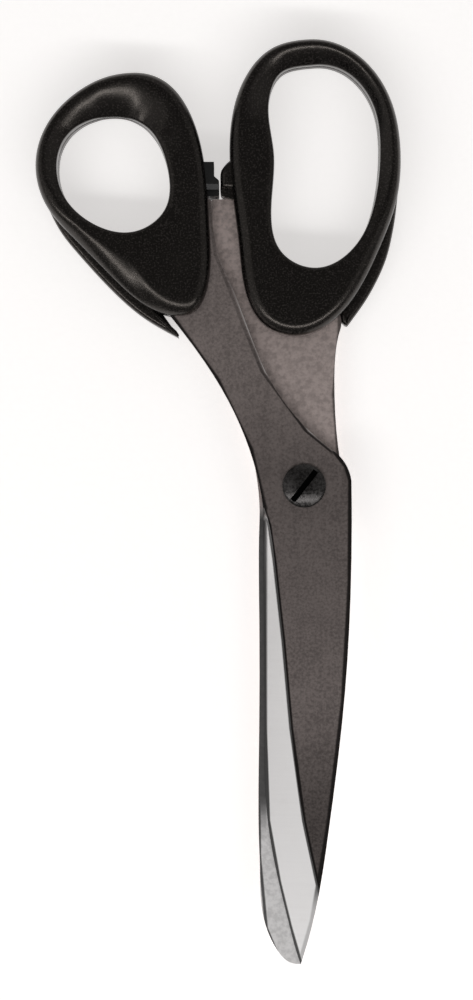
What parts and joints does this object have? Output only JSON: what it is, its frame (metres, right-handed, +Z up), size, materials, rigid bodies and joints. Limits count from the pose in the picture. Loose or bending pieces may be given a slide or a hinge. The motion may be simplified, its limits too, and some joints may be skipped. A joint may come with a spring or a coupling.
{
  "type": "fabric shears",
  "caption": "right-handed tailor's shears: two tanged steel blades crossing at a slotted pivot screw, small round thumb bow and large oval finger bow in black plastic",
  "frame": {"origin": "on the pivot axis, at the lower face of the pivot nut, which is the surface that the closed shears lie on", "axes": "+Y from the pivot to the bows, -Y to the blade tips, +Z up out of the front blade's face, +X towards the finger bow's side"},
  "size_m": [0.0827, 0.2097, 0.012],
  "materials": {
    "front_blade_steel": "dark satin face, bright ground bevel",
    "back_blade_steel": "bead-blasted satin",
    "handle_plastic": "fine-textured, half matt",
    "stop_rubber": "matt",
    "blackened_steel": "black oxide",
    "washer_steel": "bright spring steel"
  },
  "bodies": {
    "finger_side": {"back_blade": "back_blade_steel", "finger_handle_front": "handle_plastic", "finger_handle_back": "handle_plastic", "spring_washer": "washer_steel", "pivot_nut": "blackened_steel"},
    "thumb_side": {"front_blade": "front_blade_steel", "thumb_handle_front": "handle_plastic", "thumb_handle_back": "handle_plastic", "stop_pad": "stop_rubber"},
    "screw": {"pivot_screw": "blackened_steel"}
  },
  "joints": [
    {"name": "blade_pivot", "type": "hinge", "parent": "finger_side", "child": "thumb_side", "pos_m": [0, 0, 0.006], "axis": [0, 0, 1], "range_deg": [0, 70]},
    {"name": "tension_screw", "type": "hinge", "parent": "finger_side", "child": "screw", "pos_m": [0, 0, 0.006], "axis": [0, 0, 1], "range_deg": [-90, 90]}
  ]
}
